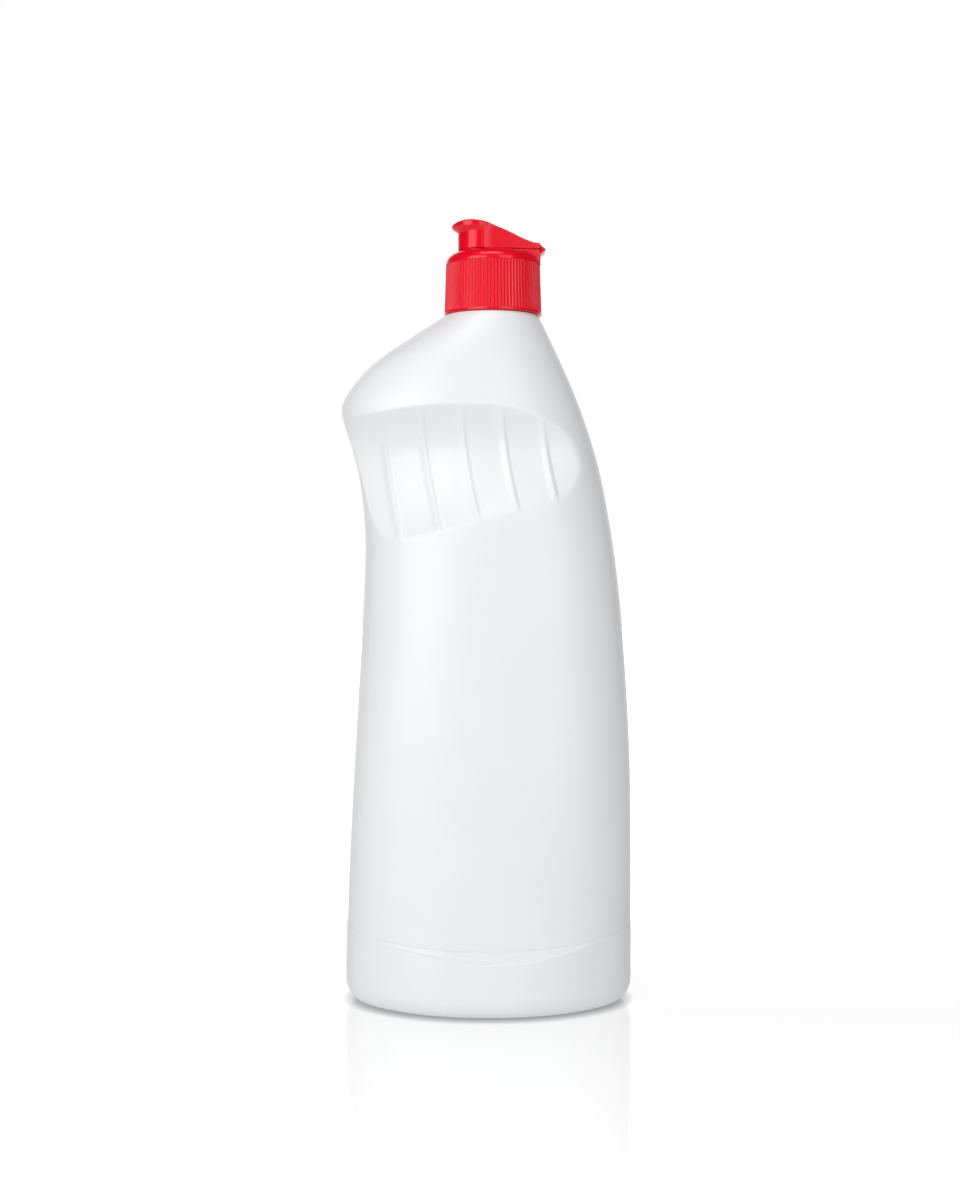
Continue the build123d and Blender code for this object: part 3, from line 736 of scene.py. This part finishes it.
def lid_wall(height):
    """The lid's side at a height: the keyhole, flaring by a smooth step out to the brim."""
    share = ease((height - flare_low) / flare_rise)
    return key + (brim - key) * share[:, None]


# A ray at the angle a meets the tab's circle, whose middle is set off by d, at
# r = d cos a + sqrt(R^2 - (d sin a)^2).
ray = np.arctan2(key[:, 1], key[:, 0])
key_reach = np.linalg.norm(key, axis=1)
offset = tab_x - lid_x
tab_reach = offset * np.cos(ray) + np.sqrt(tab_radius**2 - (offset * np.sin(ray)) ** 2)
brim_reach = np.where(ray**2 > 0.2, soft_max(key_reach, tab_reach, 0.25), key_reach)
brim = key * (brim_reach / key_reach)[:, None]
brim_out = outward(brim)
print("brim is", np.round(np.ptp(brim, axis=0), 1), "mm")

# %% [markdown]
# ## Flip lid
#
# The lid is one thin shell. Its rows start in the middle of its ceiling, run down the inside of
# the wall, round the rim that sits on the seat, up the outside and over the brim to the middle
# of the top. A solidify modifier could give the wall, but not the flat rim or the sharp gap line.
# A pin under the ceiling plugs the nozzle when the lid is closed.

# %% Flip lid
lid_z, lid_wall_width, lid_edge, lid_roof = 261.35, 1.2, 0.55, 1.3

inner = key - lid_wall_width * key_out
inner_top = lid_top(inner[:, 0]) - lid_roof
lid_rows = [
    level(inner * share, lid_top(inner[:, 0] * share) - lid_roof)
    for share in (0.05, 0.2, 0.4, 0.6, 0.8, 0.95)
]
for share in (0.04, 0.3, 0.7, 0.97):
    lid_rows.append(level(inner, inner_top + (lid_z - inner_top) * share))
for inset, rise in ((1.0, 0.02), (0.6, 0.0), (0.2, 0.0), (0.06, 0.06), (0.0, 0.2)):
    lid_rows.append(level(key - inset * key_out, lid_z + rise))
wall_height = lid_top(brim[:, 0]) - lid_edge - lid_z
for share in np.linspace(0.03, 1, 30):
    height = lid_z + wall_height * share
    lid_rows.append(level(lid_wall(height), height))
for a in np.linspace(0, np.pi / 2, 8)[1:]:
    shape = brim - lid_edge * (1 - math.cos(a)) * brim_out
    lid_rows.append(level(shape, lid_top(shape[:, 0]) - lid_edge * (1 - math.sin(a))))
rim = brim - lid_edge * brim_out
for share in np.linspace(0.96, 0.04, 20):
    lid_rows.append(level(rim * share, lid_top(rim[:, 0] * share)))
piece("lid_shell", np.stack(lid_rows), "lid", "flip_lid", red, (True, True))

pin_path = rounded([(0.2, 264.8), (1.15, 264.8), (1.15, 266.55), (2.2, 266.55), (2.2, 270.4)],
                   [0.4, 0.15, 0.2], step=0.6)
piece("lid_pin", turned(pin_path, lid_x, 96), "lid", "flip_lid", red, (True, False))

# %% [markdown]
# ## Studio floor and wall
#
# The bottle stands on a glossy white sheet in front of a white wall. The sheet shows a faint
# mirror image of the foot and a fine dark line where the foot touches it. That line is partly
# real shadow and partly painted shadow, because ambient occlusion dims the sheet's glow there.
# More lamps would make the sheet white, but would burn out the white bottle. So both give off
# light that only the camera sees at full strength, and the bottle is lit by much less of it.

# %% Floor and wall
room_half_width, room_front, room_back, room_height = 4.0, -2.0, 2.5, 3.5


def glow(tree, seen, unseen, glossy):
    """Strength of a light that the camera sees, one that other light meets, and one that
    reflections meet, chosen by the kind of ray."""
    path = add(tree, "ShaderNodeLightPath")
    soft = add(tree, "ShaderNodeMix", {0: path.outputs["Is Glossy Ray"], 2: unseen, 3: glossy})
    return add(tree, "ShaderNodeMix", {
        0: path.outputs["Is Camera Ray"], 2: soft.outputs[0], 3: seen}).outputs[0]


def panel(name, corners, material):
    """Flat sheet of the studio, which is not part of the bottle."""
    mesh = bpy.data.meshes.new(name)
    mesh.from_pydata(corners, [], [(0, 1, 2, 3)])
    mesh.materials.append(material)
    made = bpy.data.objects.new(name, mesh)
    bpy.context.scene.collection.objects.link(made)
    print(name, "is", np.round(np.ptp(corners, axis=0), 2), "m")


# The sheet's glow is painted shade near the bottle. It gives off least in a band 0.2 m deep on
# both sides of the bottle, where the mirror image is, and most beyond 0.8 m. Within 4 mm of the
# foot, ambient occlusion dims the glow further into a painted contact shadow.
sheet, tree = material("glossy_white_sheet")
place = add(tree, "ShaderNodeTexCoord").outputs["Object"]
depth = add(tree, "ShaderNodeSeparateXYZ", {0: place}).outputs["Y"]
centred = add(tree, "ShaderNodeMath", {0: depth, 1: 0.02}, operation="ADD").outputs[0]
distance = add(tree, "ShaderNodeMath", {0: centred}, operation="ABSOLUTE").outputs[0]
# Painted contact shadow: ambient occlusion within 4 mm darkens the sheet's glow.
painted_contact_shadow = add(tree, "ShaderNodeAmbientOcclusion", {"Distance": 0.004}).outputs["AO"]
# Painted shade: the glow seen by the camera is dimmest within 0.2 m of the bottle.
painted_shade_near = add(tree, "ShaderNodeMapRange", {0: distance, 1: 0.0, 2: 0.2, 3: 0.52, 4: 0.74}).outputs[0]
far = add(tree, "ShaderNodeMapRange", {0: distance, 1: 0.8, 2: 1.8, 3: 0.0, 4: 0.4}).outputs[0]
lift = add(tree, "ShaderNodeMath", {0: painted_shade_near, 1: far}, operation="ADD").outputs[0]
lift = add(tree, "ShaderNodeMath", {0: lift, 1: painted_contact_shadow}, operation="MULTIPLY").outputs[0]
skin = add(tree, "ShaderNodeBsdfPrincipled", {
    "Base Color": linear("#A4A4A4"), "Roughness": 0.10, "IOR": 1.8,
    "Emission Color": (1, 1, 1, 1), "Emission Strength": glow(tree, lift, 0.41, 0.3)})
add(tree, "ShaderNodeOutputMaterial", {"Surface": skin.outputs[0]})
panel("floor", [
    (-room_half_width, room_front, 0), (room_half_width, room_front, 0),
    (room_half_width, room_back, 0), (-room_half_width, room_back, 0)], sheet)

# The wall's mirror image fades out between 1.0 and 2.8 m from its middle, so that the edges of
# the glossy cap and bottle stay dark.
wall_paint, tree = material("lit_white_wall")
place = add(tree, "ShaderNodeTexCoord").outputs["Object"]
from_middle = add(tree, "ShaderNodeVectorMath", {
    0: place, 1: (0, room_back, 0.4)}, operation="DISTANCE").outputs["Value"]
mirrored = add(tree, "ShaderNodeMapRange", {
    "Value": from_middle, "From Min": 1.0, "From Max": 2.8, "To Min": 1.0, "To Max": 0.04},
    interpolation_type="SMOOTHSTEP").outputs[0]
light = add(tree, "ShaderNodeEmission", {
    "Color": (1, 1, 1, 1), "Strength": glow(tree, 1.0, 0.5, mirrored)})
add(tree, "ShaderNodeOutputMaterial", {"Surface": light.outputs[0]})
panel("wall", [
    (-room_half_width, room_back, 0), (room_half_width, room_back, 0),
    (room_half_width, room_back, room_height), (-room_half_width, room_back, room_height)],
    wall_paint)

# %% [markdown]
# ## Lamps and room
#
# A large soft box on the left is the main lamp. It gives the cap its tall highlight and leaves
# the right side of the bottle a little darker. A weaker one on the right keeps that side from
# going grey. A small one in front evens out the label panel without showing in the gloss, and
# one above lights the shoulder, the lid's top and the ledge of the foot. Sun lamps or small
# lamps would give hard shadows that such a studio doesn't have.

# %% Lamps and room
def soft_box(name, spot, target, width, height, power):
    """Area light at a spot, facing a target, both in metres."""
    lamp = bpy.data.lights.new(name, "AREA")
    lamp.shape, lamp.size, lamp.size_y, lamp.energy = "RECTANGLE", width, height, power
    made = bpy.data.objects.new(name, lamp)
    made.location = spot
    away = np.array(spot) - np.array(target)
    tilt, heading = math.acos(away[2] / np.linalg.norm(away)), math.atan2(away[1], away[0])
    made.rotation_euler = (tilt, 0, heading + math.pi / 2)
    bpy.context.scene.collection.objects.link(made)
    print(f"{name} lamp: {power} W, {np.linalg.norm(away):.2f} m away")
    return made


soft_box("key", (-0.66, -0.82, 0.27), (0, 0, 0.12), 0.78, 1.2, 7.1)
soft_box("fill", (0.58, -0.90, 0.45), (0, 0, 0.12), 0.6, 1.0, 2.8)
front = soft_box("front", (-0.10, -0.98, 0.66), (0, 0, 0.19), 0.5, 0.4, 0.6)
front.visible_glossy = False
soft_box("above", (-0.05, -0.36, 1.05), (0, 0, 0.1), 0.6, 0.4, 2.0)

world = bpy.data.worlds.new("white_room")
world.use_nodes = True
tree = world.node_tree
tree.nodes.clear()
back = add(tree, "ShaderNodeBackground", {
    "Color": (1, 1, 1, 1), "Strength": glow(tree, 1.0, 0.25, 0.04)})
add(tree, "ShaderNodeOutputWorld", {"Surface": back.outputs[0]})
bpy.context.scene.world = world

# %% [markdown]
# ## Camera
#
# The bottle is seen exactly from its side, from 56 cm away and 16 cm up, with the lens level, so
# that upright lines stay upright. The lens is shifted instead of tilted to bring the whole
# bottle into the frame.

# %% Camera
image_height = 1200  # the longer side of the image, in pixels
shift_across, shift_up = -8.3, -57  # in pixels
lens = bpy.data.cameras.new("camera")
lens.lens, lens.sensor_width = 48.06, 36.0
lens.shift_x, lens.shift_y = shift_across / image_height, shift_up / image_height
lens.clip_start, lens.clip_end = 0.01, 20
camera = bpy.data.objects.new("camera", lens)
camera.location, camera.rotation_euler = (0.0008, -0.562, 0.159), (math.pi / 2, 0, 0)
bpy.context.scene.collection.objects.link(camera)
bpy.context.scene.camera = camera
bpy.context.scene.view_settings.view_transform = "Standard"
print(f"camera at {tuple(round(c, 4) for c in camera.location)} m, {lens.lens:.2f} mm lens")
